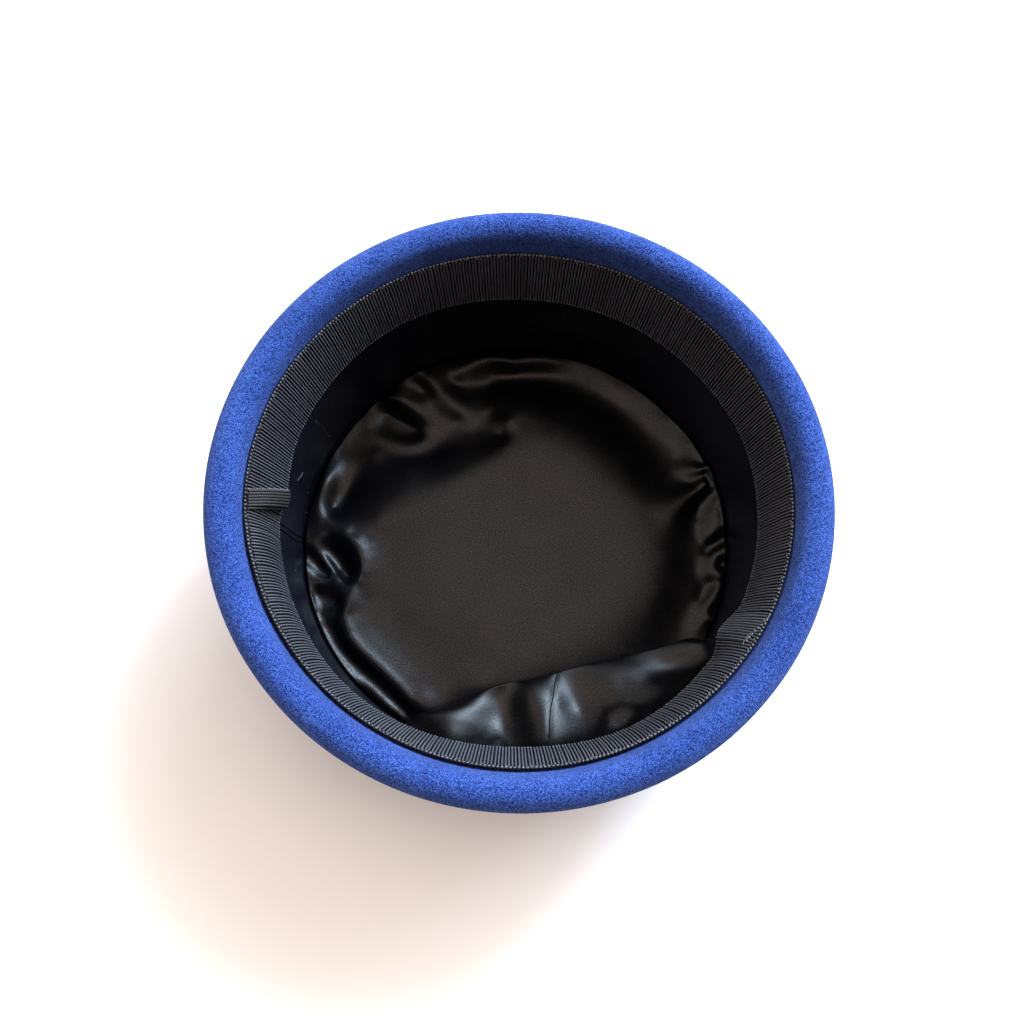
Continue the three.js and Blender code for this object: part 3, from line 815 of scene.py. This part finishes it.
def on_lining(bearing, share, lift):
    """Points a little out from the lining's face, at bearings and shares of its depth."""
    column = bearing / 360 * SIDE_COLUMNS
    row = np.clip(share * (SIDE_ROWS - 1), 0, SIDE_ROWS - 1.001)
    i, j = np.floor(row).astype(int), np.floor(column).astype(int)
    down, across = (row - i)[..., None], (column - j)[..., None]
    raised = side_face + (side_face - side_back) / SIDE_LINING * lift
    here, onward = j % SIDE_COLUMNS, (j + 1) % SIDE_COLUMNS
    upper = raised[i, here] * (1 - across) + raised[i, onward] * across
    lower = raised[i + 1, here] * (1 - across) + raised[i + 1, onward] * across
    return upper * (1 - down) + lower * down


# The seams are thin cords along the seam lines; their near-black matte colour is painted shade of the seam
# grooves, darker than the lining's own black.
seam_shade_thread, seam_shade_shader = cloth_material(
    "seam_thread_painted_shade", SEAM_PAINTED_SHADE, LINING_BLACK,
    place="Object", threads=6000, mottle=200, roughness=0.9, relief=0.3)
seam_shade_shader.inputs["Specular IOR Level"].default_value = 0.02
seam_lines = np.array([on_lining(*eased_line(points, 40).T, 0.04) for points in LINING_SEAMS])
seams = swept_cords("lining_seams", seam_lines, radius=0.22, sides=6, material=seam_shade_thread)
lint_line = on_lining(*eased_line(LINT_FIBRE, 16).T, 0.35)
lint = swept_cords("lint_fibre", lint_line[None], radius=0.14, sides=5, material=thread)
row_places = on_lining(*eased_line(LINING_STITCHES, 13).T, 0.05)
speck_places = on_lining(*np.array(LINT_SPECKS).T, 0.05)
speck_runs = np.tile([0.0, 1.0, 0.4], (len(LINT_SPECKS), 1))
dots = sewn_stitches(
    "lining_stitches", np.concatenate([row_places, speck_places]),
    np.concatenate([np.gradient(row_places, axis=0), speck_runs]),
    length=0.6, thickness=0.27, uneven=0.2, seed=4, material=thread)
for piece in (side_lining, seams, lint, dots):
    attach(piece, "root")
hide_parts("side_lining")

# Tip lining: a disc of glossy black satin laid over the inside of the crown tip. Its edge is gathered all
# round into the foot of the side lining, which throws puffs, pleats and hollows round a smooth middle.
# Each line is a fold or an edge of the cloth: bearing, distance from the axis and height of its points.
TIP_LINING = 0.8
TIP_RADIUS = 80.3
TIP_COLUMNS = 480
TIP_RINGS = 88
MIDDLE_RINGS = 13
MIDDLE_SHARE = 0.36
SATIN_LOWEST = 3.5
SATIN_SLACK = 0.02
SATIN_LINE_STEP = 4
SATIN_BLACK = (0.0006, 0.0006, 0.001, 1)
SATIN_GREY = (0.0014, 0.0013, 0.0026, 1)
SATIN_LINES = {
    "middle": [(0, 0, 9.6)],
    "middle ring": [(b, 22, 9.6) for b in range(0, 360, 45)],
    "edge of the middle, far side": [
        (93, 49, 9.5), (82, 49.5, 9.5), (69, 48, 9.5), (53, 46, 9.5), (37, 45, 9.5), (18, 50.5, 9.5),
        (6, 55, 9.5)],
    "fall to the far moat": [
        (94, 61, 6.9), (82, 61, 6.8), (69, 60, 6.7), (53, 58.5, 6.6), (37, 58, 6.6), (22, 62, 6.7)],
    "edge of the middle, right": [(353, 57, 9.5), (340, 57.5, 9.5), (330, 57, 9.4), (317, 56, 9.3)],
    "edge of the middle, far left": [
        (93, 42, 9.5), (100, 37, 9.6), (119, 33, 9.8), (149, 37, 10.1), (160, 43, 10.1), (166, 47, 10),
        (172, 53, 9.8)],
    "edge of the middle, near left": [
        (190, 45, 9.6), (204, 47, 9.6), (215, 47, 9.6), (227, 45.5, 9.6), (239, 44.5, 9.5),
        (252, 48, 9.3)],
    "under the loose fold": [(256, 58, 9.6), (270, 58, 9.5), (290, 57, 9.4), (310, 57, 9.2)],
    "under the loose fold, outer": [(252, 70, 7), (270, 70, 6.2), (290, 70, 6), (312, 71, 5.8)],
    "far left slope": [
        (98, 44.5, 7.7), (104, 43, 7.6), (112, 42, 7.5), (121, 42.2, 7.4), (131, 43, 7.4), (139, 46, 7.3),
        (145, 52, 7.1), (150, 56, 6.9), (158, 59, 6.9), (164, 63, 6.6)],
    "foot of the far left slope": [
        (146, 66, 5), (151, 70, 4.4), (158, 71, 4.2), (164, 71.5, 4.4), (168, 72, 5)],
    "light band, near side": [
        (147, 73.6, 4.4), (144, 70.6, 4.5), (143, 66.5, 4.6), (142.2, 62, 4.7), (140.6, 56.6, 4.9),
        (136.4, 52.6, 5.1), (129, 51.2, 5.2), (122, 51, 5.3), (114, 51.8, 5.6)],
    "light band, far side": [
        (151, 79, 4.6), (146.5, 77, 4.6), (143.5, 75, 4.6), (141, 70, 4.7), (139.6, 65, 4.8),
        (137.6, 59.8, 4.9), (134.6, 56.6, 5.1), (129, 55.2, 5.2), (122.4, 55, 5.3), (115, 55.8, 5.7)],
    "flat facet": [(142, 78, 4.9), (138, 76.5, 5.2), (134.6, 78, 5.7)],
    "foot of the second pleat": [(133, 75, 3.9), (132.4, 71, 3.6), (131, 65, 3.5), (130, 61, 3.9)],
    "second pleat": [
        (130.8, 78.3, 8), (129, 71, 7.2), (127.4, 65, 6.5), (125.5, 60, 5.9), (123, 56.6, 5.5)],
    "facet between pleats": [(124.6, 74, 7.9), (122.4, 68, 7.2), (120, 61.5, 6.4), (117, 57, 5.9)],
    "short crease": [(120.6, 76.5, 7.7), (120, 72, 7), (119.4, 68.5, 7.3)],
    "third pleat": [
        (118.6, 78.5, 9.2), (117.4, 73, 8.8), (115.8, 67, 8.5), (114, 61, 7.4), (111.5, 55.5, 6.5),
        (108, 51, 6.1)],
    "beside the third pleat": [(110, 70, 6.2), (107.5, 64, 5.9), (104.5, 58, 6), (101, 54, 6.4)],
    "first puff": [
        (108.5, 73.5, 7.4), (105, 76, 7.7), (101.5, 77.5, 7.9), (97, 77.3, 7.7), (93.5, 76, 7.2),
        (91, 74.6, 6.6)],
    "second puff": [(88, 75.8, 6.4), (85.5, 77.2, 6.7), (81, 78, 6.6), (77, 79, 6.3)],
    "far moat": [
        (103, 68.5, 4.9), (96, 71.5, 4.6), (88, 71.8, 4.5), (79, 72.6, 4.5), (71, 72.6, 4.5),
        (64, 71, 4.4), (53, 71, 4.4), (44, 71, 4.4), (36, 71, 4.5), (29, 71.5, 5)],
    "far ring": [
        (72, 78.6, 5.7), (65, 77, 5.45), (58, 76.8, 5.4), (51, 76.8, 5.45), (44, 77.2, 5.6),
        (37, 78.2, 6.2), (31, 79.3, 7.2)],
    "sharp point": [(21.5, 80.3, 10.8), (22.5, 76, 9), (24.5, 72, 6.8)],
    "under the sharp point": [(20.5, 75.5, 8), (20, 71.5, 6.8), (22, 67, 6.2)],
    "ridge below the point": [
        (19, 80, 10.4), (17.5, 74.6, 9.2), (15, 69.3, 8.8), (12, 64.5, 8.9), (9, 60, 9.2)],
    "valley below the point": [(15, 78.5, 8.2), (13, 73, 6.6), (9, 70.5, 5.9)],
    "right puff": [(11, 79, 9.4), (8, 77.5, 9), (4, 77.5, 8.6), (2, 75, 8), (1.5, 73, 7.2)],
    "right crease": [(1.5, 79.8, 7), (359.5, 76, 6.4), (357.5, 73.5, 5.9)],
    "small puff": [(358.5, 79.4, 8.4), (357, 76, 8), (354, 75, 7.8), (351, 75.6, 8), (350, 78.5, 8.4)],
    "its dimple": [(354, 78.2, 7)],
    "crease below it": [(348, 76, 6.4), (343, 74, 5.9)],
    "low ridge": [(347, 78.8, 8), (343, 77, 7.8), (338, 75.8, 7.2), (334, 75.4, 6.6)],
    "its lower dimple": [(341, 79, 6.6)],
    "lowest ridge": [(338, 80, 7.6), (337, 78.4, 7.4), (335, 77, 7)],
    "right moat": [
        (7, 69.5, 6.3), (2, 70.5, 6.3), (354, 70.5, 6.3), (345, 70.5, 6.3), (337, 71, 6.2),
        (328, 72, 5.8)],
    "left ridge": [
        (158, 79.6, 6.8), (162, 79.6, 8), (165, 78.8, 8.4), (168, 77.6, 8.6), (171, 76, 8.7),
        (174, 74, 8.9)],
    "rim of the round hollow": [
        (175, 71, 9.4), (175.6, 68, 9.8), (177, 64.5, 10.4), (179.6, 61.4, 11), (183, 59.4, 11.4),
        (187, 58.6, 11.5), (191.4, 59.2, 11.5), (194.6, 61.2, 11.4), (196.8, 64, 11.3)],
    "inner lip of the rim": [
        (177, 62.8, 10), (179.6, 59.6, 10.6), (183, 57.6, 11), (187, 56.8, 11.1), (191.4, 57.4, 11.1),
        (194.6, 59.4, 11), (197.2, 62, 10.9)],
    "slope beside the rim": [
        (177, 59, 9.7), (182, 54.4, 10.1), (187, 53.4, 10.2), (192, 54, 10.2), (197, 57.2, 10.2),
        (202, 61.4, 10)],
    "beside the rim": [(175.4, 54, 9.5), (182, 50, 9.5), (191, 49.4, 9.5), (199, 52.4, 9.5)],
    "foot of the round hollow": [(182.5, 72.4, 7), (185.6, 70.4, 6.4), (189, 68.2, 6.4), (192.4, 65, 7)],
    "first gathered pleat": [
        (181, 79, 8.8), (182.4, 76, 8.5), (184.6, 73.6, 8.3), (187.4, 71.6, 8.4), (191, 69.4, 8.7),
        (194, 67, 9.4)],
    "knot": [(179.6, 80, 9), (179.6, 77.3, 9), (178.6, 74.4, 9.1), (176.6, 72.2, 9.3)],
    "foot of the first pleat": [(184.2, 78.6, 7), (187, 75.6, 6.7), (190, 72.6, 7.2)],
    "second gathered pleat": [(187.6, 80, 8.8), (190.6, 77.6, 8.6), (192.6, 73.6, 8.8), (195, 69, 9.5)],
    "foot of the second gathered pleat": [(195.5, 78.4, 7.2), (197.4, 75.5, 6.9), (198.6, 72, 7.5)],
    "third gathered pleat": [(200.6, 79.6, 8), (201.6, 76, 8.2), (202, 71.5, 9.4)],
    "inside of the broad ridge": [
        (206, 61.4, 9.7), (211, 62.2, 9.7), (216, 61.6, 9.65), (222, 60.4, 9.6), (229, 60.2, 9.5),
        (236, 61.6, 9.4), (242, 64, 9.3)],
    "slope of the broad ridge": [
        (205, 65.4, 10.5), (211, 66.4, 10.6), (216, 65.8, 10.6), (221, 64.8, 10.5), (226, 64.4, 10.4),
        (231, 64.6, 10.3), (237, 66.2, 10)],
    "broad ridge": [
        (199, 67.4, 11.4), (205, 71, 11.9), (211, 72.2, 12.1), (216, 71.6, 12.1), (221, 70.6, 12),
        (226, 70.2, 11.9), (231, 70.4, 11.7), (237, 71.8, 11.1), (243, 73.6, 10.1)],
    "inner lip of the broad ridge": [
        (205, 69, 11.4), (211, 70.2, 11.6), (216, 69.6, 11.6), (221, 68.6, 11.5), (226, 68.2, 11.4),
        (231, 68.4, 11.2), (237, 69.8, 10.7)],
    "outer lip of the broad ridge": [
        (205, 72.6, 11), (211, 73.8, 11.1), (216, 73.2, 11.1), (221, 72.2, 11), (226, 71.8, 10.9),
        (231, 72, 10.7), (237, 73.4, 10.2)],
    "foot of the edge": [
        (205, 78.4, 7.6), (210, 78, 7.4), (215, 77.2, 7.2), (220, 76.2, 7.1), (226, 75.4, 7),
        (232, 75.8, 6.9), (238, 77.2, 6.8)],
    "edge line": [
        (190, 80.2, 8.8), (194, 80.2, 9), (198, 80.2, 9), (202, 80.2, 8.8), (206, 80.2, 8.6),
        (212, 80, 8.4), (216, 79.6, 8.3), (221, 78.8, 8.2), (227, 78, 8.1), (233, 78.6, 8),
        (240, 79.8, 7.6)],
    "sewn edge": [
        (13, 80.3, 9.8), (5, 80.3, 9), (29, 80.3, 8.2), (42, 80.3, 6.1), (58, 80.3, 5.8), (72, 80.3, 6),
        (82, 80.3, 6.4), (90.5, 80.3, 6), (99, 80.3, 7.4), (106, 80.3, 7), (112, 80.3, 7.6),
        (118.6, 80.3, 9.4), (125, 80.3, 8), (132, 80.3, 6.8), (140, 80.3, 5.4), (150, 80.3, 5),
        (158, 80.3, 6.4), (170, 80.3, 7.8), (176, 80.3, 8)],
    "sewn edge, near side": [
        (226, 80.3, 6.8), (234, 80.3, 6.4), (246, 80.3, 5.8), (262, 80.3, 5.5), (280, 80.3, 5.4),
        (298, 80.3, 5.4), (316, 80.3, 5.4), (328, 80.3, 5.8), (345, 80.3, 7.2), (352, 80.3, 7.6)],
}


def satin_height(radius, bearing):
    """Top of the satin, which rests on the felt where it would sag below it."""
    lines = []
    for row in SATIN_LINES.values():
        bearings, radii, heights = np.array(row, float).T
        lines.append(oval_points(radii, bearings, heights))
    bent = bent_plate(lines, SATIN_LINE_STEP, SATIN_SLACK, oval_points(radius, bearing, 0.0)[..., :2])
    return SATIN_LOWEST + np.logaddexp(0, 3 * (bent - SATIN_LOWEST)) / 3


satin, satin_shader = cloth_material(
    "black_satin", SATIN_BLACK, SATIN_GREY, place="UV", threads=5000, mottle=60, roughness=0.3, relief=0.08)
grained_gloss(satin, satin_shader, gloss=0.195, grain=0.65)
tip_bearings = np.linspace(0, 360, TIP_COLUMNS, endpoint=False)[None, :]
tip_radii = TIP_RADIUS * np.concatenate([
    np.linspace(0, MIDDLE_SHARE, MIDDLE_RINGS, endpoint=False),
    np.linspace(MIDDLE_SHARE, 1, TIP_RINGS - MIDDLE_RINGS)])[:, None]
tip_top = oval_points(tip_radii, tip_bearings, satin_height(tip_radii, tip_bearings))
tip_under = tip_top - np.array([0, 0, TIP_LINING])
uv_bearings = np.linspace(0, 360, TIP_COLUMNS + 1)[None, :]
tip_uv = oval_points(tip_radii, uv_bearings, 0.0)[..., :2]
tip_lining = thin_sheet("satin_tip", tip_top, tip_under, tip_uv, satin, ring=True)
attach(tip_lining, "root")
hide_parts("tip_lining")

# Tab: a narrow loop of ribbon, folded flat on itself and caught under the selvedge at the hat's back. Its
# cords run lengthwise and turn round at the free end, and its back layer has slipped a little to one side.
TAB_TOP_BEARING = 180.7
TAB_END_BEARING = 177.3
TAB_WIDTH = 5.8
TAB_CORDS = 6
TAB_STEPS = 16
TAB_SIDES = 9
TAB_KNOTS = 20
TAB_CORD_RADIUS = 0.4
TAB_CORE = 0.16
TAB_START = 1.3
TAB_LENGTH = 22.4
TAB_LIFT = 1.5
TAB_LAYER = 1.1
TAB_SLIP = 1.0
TAB_SPLAY = 0.1
TAB_SKEW = 0.2
TAB_BLACK = (0.014, 0.0135, 0.0135, 1)
TAB_GREY = (0.05, 0.0475, 0.046, 1)


def tab_points(side):
    """Lines of the loop at places across it: down its front, round the free end and back up behind."""
    front = np.linspace(TAB_START, TAB_LENGTH, TAB_STEPS)
    bend = np.linspace(0, math.pi, 9)[1:-1]
    along = np.concatenate([front, TAB_LENGTH + TAB_LAYER / 2 * np.sin(bend), front[::-1]])[None, :]
    layer = np.concatenate([np.ones(TAB_STEPS), (1 + np.cos(bend)) / 2, np.zeros(TAB_STEPS)])
    share = np.clip((along - TAB_START) / (TAB_LENGTH - TAB_START), 0, 1)
    opened = smoothstep(along, TAB_START - 2, TAB_START + 9)
    across = side[:, None] * (1 + TAB_SPLAY * share) + TAB_SLIP * (1 - layer)
    bearing = TAB_TOP_BEARING + (TAB_END_BEARING - TAB_TOP_BEARING) * share
    rise = (TAB_LIFT + layer * TAB_LAYER) * (0.15 + 0.85 * opened)
    crown = 0.35 * (1 - (2 * side[:, None] / TAB_WIDTH) ** 2)
    turned = np.degrees(across / (MEAN_RADIUS - 15))
    skewed = along + TAB_SKEW * share * side[:, None]
    return ribbon_points(bearing + turned, skewed, RIBBON_MIDDLE + rise + crown * opened)


tab_middle = tab_points(np.linspace(-TAB_WIDTH / 2, TAB_WIDTH / 2, TAB_SIDES))
tab_face, tab_back = thickened(tab_middle, TAB_CORE)
tab_run = np.linspace(0, 2 * (TAB_LENGTH - TAB_START), tab_middle.shape[1])[None, :]
tab_uv = np.stack(np.broadcast_arrays(tab_run, np.linspace(0, TAB_WIDTH, TAB_SIDES)[:, None]), -1)
# The tab's core takes the ribbon's ground, darkened as painted shade in the gaps between the tab's cords.
tab = thin_sheet("tab_core", tab_face, tab_back, tab_uv, ground_painted_shade_cloth)
tab_grosgrain, _ = cloth_material(
    "black_tab_grosgrain", TAB_BLACK, TAB_GREY,
    place="Object", threads=4200, mottle=90, roughness=0.55, relief=0.4)
tab_sides = (np.arange(TAB_CORDS) + 0.5) * TAB_WIDTH / TAB_CORDS - TAB_WIDTH / 2
tab_cords = swept_cords("tab_cords", tab_points(tab_sides), radius=TAB_CORD_RADIUS, sides=8,
                        material=tab_grosgrain)
tab_edge = eased_line(tab_points(np.array([-TAB_WIDTH / 2]))[0, :TAB_STEPS], TAB_KNOTS)
tab_knots = sewn_stitches(
    "tab_edge_knots", tab_edge, np.gradient(tab_edge, axis=0),
    length=0.85, thickness=0.62, uneven=0.15, seed=6, material=grosgrain)
for piece in (tab, tab_cords, tab_knots):
    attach(piece, "root")
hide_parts("band_tab")

# The surroundings: a white table in a plain room, daylight from a large window at the far right, and a
# little light from the far wall and the ceiling. The room is dark behind the camera, which is held almost
# straight above the open hat.
TABLE_WHITE = (0.87, 0.865, 0.855, 1)
ROOM_NEAR = (0.25, 0.15, 0.09, 1)
ROOM_SIDES = (2.44, 2.11, 1.85, 1)
ROOM_FAR = (1.3, 1.17, 1.09, 1)
ROOM_DARK = (0.02, 0.018, 0.016, 1)
NEAR_STOP = 0.3
SIDES_STOP = 0.5
FAR_STOP = 0.8
OVERHEAD_SHARE = 0.8
DARK_TOWARD = (0.0, -0.54, 0.84)
DARK_FROM = math.cos(math.radians(34))
DARK_FULL = math.cos(math.radians(20))
BACKDROP_WHITE = (0.95, 0.95, 0.95, 1)
LIGHT_DISTANCE = 1.5
ROOM_LIGHTS = [
    dict(name="window", bearing=52, elevation=38, wide=1.25, tall=1.0,
         radiance=6.1, colour=(0.83, 1, 1.19)),
    dict(name="bright_pane", bearing=52, elevation=40, wide=0.52, tall=0.52,
         radiance=28, colour=(0.76, 1, 1.3)),
    dict(name="far_wall", bearing=62, elevation=17, wide=2.4, tall=0.8,
         radiance=2.2, colour=(0.95, 1, 1.03)),
    dict(name="ceiling", bearing=112, elevation=81, wide=0.75, tall=0.75,
         radiance=1.1, colour=(1.2, 0.94, 0.87)),
]
CAMERA_DISTANCE = 350 * MM
CAMERA_TILT = math.radians(15)
CAMERA_AZIMUTH = math.radians(-4.5)
IMAGE_PIXELS = 1024
FOCAL_PIXELS = 1091
LIP_IN_IMAGE = (520.2, 493.6)

scene = bpy.context.scene
scene.view_settings.view_transform = "Standard"

table_mesh = bpy.data.meshes.new("table_top")
table_mesh.from_pydata([(-3, -3, 0), (3, -3, 0), (3, 3, 0), (-3, 3, 0)], [], [(0, 1, 2, 3)])
table = bpy.data.objects.new("table_top", table_mesh)
scene.collection.objects.link(table)
table_paint, _, table_shader = new_material("white_table")
table_shader.inputs["Base Color"].default_value = TABLE_WHITE
table_shader.inputs["Roughness"].default_value = 0.6
table_mesh.materials.append(table_paint)

world = bpy.data.worlds.new("plain_room")
scene.world = world
world.use_nodes = True
room = world.node_tree
toward = add_node(room, "ShaderNodeTexCoord").outputs["Generated"]
axes = add_node(room, "ShaderNodeSeparateXYZ", {0: toward})
across = add_node(room, "ShaderNodeMapRange", {"Value": axes.outputs["Y"], "From Min": -1, "From Max": 1})
walls = add_node(room, "ShaderNodeValToRGB", {0: across.outputs[0]})
stops = walls.color_ramp.elements
stops[0].position, stops[0].color = NEAR_STOP, ROOM_NEAR
stops[1].position, stops[1].color = FAR_STOP, ROOM_FAR
stops.new(SIDES_STOP).color = ROOM_SIDES
overhead = add_node(room, "ShaderNodeMapRange", {
    "Value": axes.outputs["Z"], "From Min": 0.75, "From Max": 0.97,
    "To Min": 1, "To Max": OVERHEAD_SHARE}, interpolation_type="SMOOTHSTEP")
dimmed = add_node(room, "ShaderNodeVectorMath", {0: walls.outputs[0]}, operation="SCALE")
room.links.new(overhead.outputs[0], dimmed.inputs["Scale"])
near_dark = add_node(room, "ShaderNodeVectorMath", {0: toward, 1: DARK_TOWARD}, operation="DOT_PRODUCT")
darkened = add_node(room, "ShaderNodeMapRange", {
    "Value": near_dark.outputs["Value"], "From Min": DARK_FROM, "From Max": DARK_FULL},
    interpolation_type="SMOOTHSTEP")
around_camera = add_node(room, "ShaderNodeMix", {
    "Factor": darkened.outputs[0], "A": dimmed.outputs[0], "B": ROOM_DARK}, data_type="RGBA")
seen = add_node(room, "ShaderNodeLightPath").outputs["Is Camera Ray"]
shown = add_node(room, "ShaderNodeMix", {
    "Factor": seen, "A": around_camera.outputs[2], "B": BACKDROP_WHITE}, data_type="RGBA")
room.links.new(shown.outputs[2], room.nodes["Background"].inputs["Color"])

for light in ROOM_LIGHTS:
    lamp = bpy.data.lights.new(light["name"], "AREA")
    lamp.shape = "RECTANGLE"
    lamp.size = light["wide"]
    lamp.size_y = light["tall"]
    lamp.energy = math.pi * light["wide"] * light["tall"] * light["radiance"]
    lamp.color = light["colour"]
    bearing, elevation = math.radians(light["bearing"]), math.radians(light["elevation"])
    level = math.cos(elevation)
    away = Vector((level * math.cos(bearing), level * math.sin(bearing), math.sin(elevation)))
    lamp_place = bpy.data.objects.new(light["name"], lamp)
    lamp_place.location = away * LIGHT_DISTANCE
    lamp_place.rotation_euler = away.to_track_quat("Z", "Y").to_euler()
    scene.collection.objects.link(lamp_place)

lip = Vector((0, 0, ROLL_CENTRE[1] * MM))
back = Vector((
    math.sin(CAMERA_AZIMUTH) * math.sin(CAMERA_TILT),
    -math.cos(CAMERA_AZIMUTH) * math.sin(CAMERA_TILT),
    math.cos(CAMERA_TILT)))
right = (-back).cross(Vector((0, 1, 0))).normalized()
upward = right.cross(-back)
aim = (lip - right * ((LIP_IN_IMAGE[0] - IMAGE_PIXELS / 2) * CAMERA_DISTANCE / FOCAL_PIXELS)
       + upward * ((LIP_IN_IMAGE[1] - IMAGE_PIXELS / 2) * CAMERA_DISTANCE / FOCAL_PIXELS))
eye = lip + back * CAMERA_DISTANCE
forward = (aim - eye).normalized()
right = forward.cross(Vector((0, 1, 0))).normalized()
upward = right.cross(forward)
lens = bpy.data.cameras.new("camera")
lens.sensor_width = 36
lens.lens = lens.sensor_width * FOCAL_PIXELS / IMAGE_PIXELS
camera = bpy.data.objects.new("camera", lens)
scene.collection.objects.link(camera)
turned = Matrix((right, upward, -forward)).transposed().to_4x4()
camera.matrix_world = Matrix.Translation(eye) @ turned
scene.camera = camera
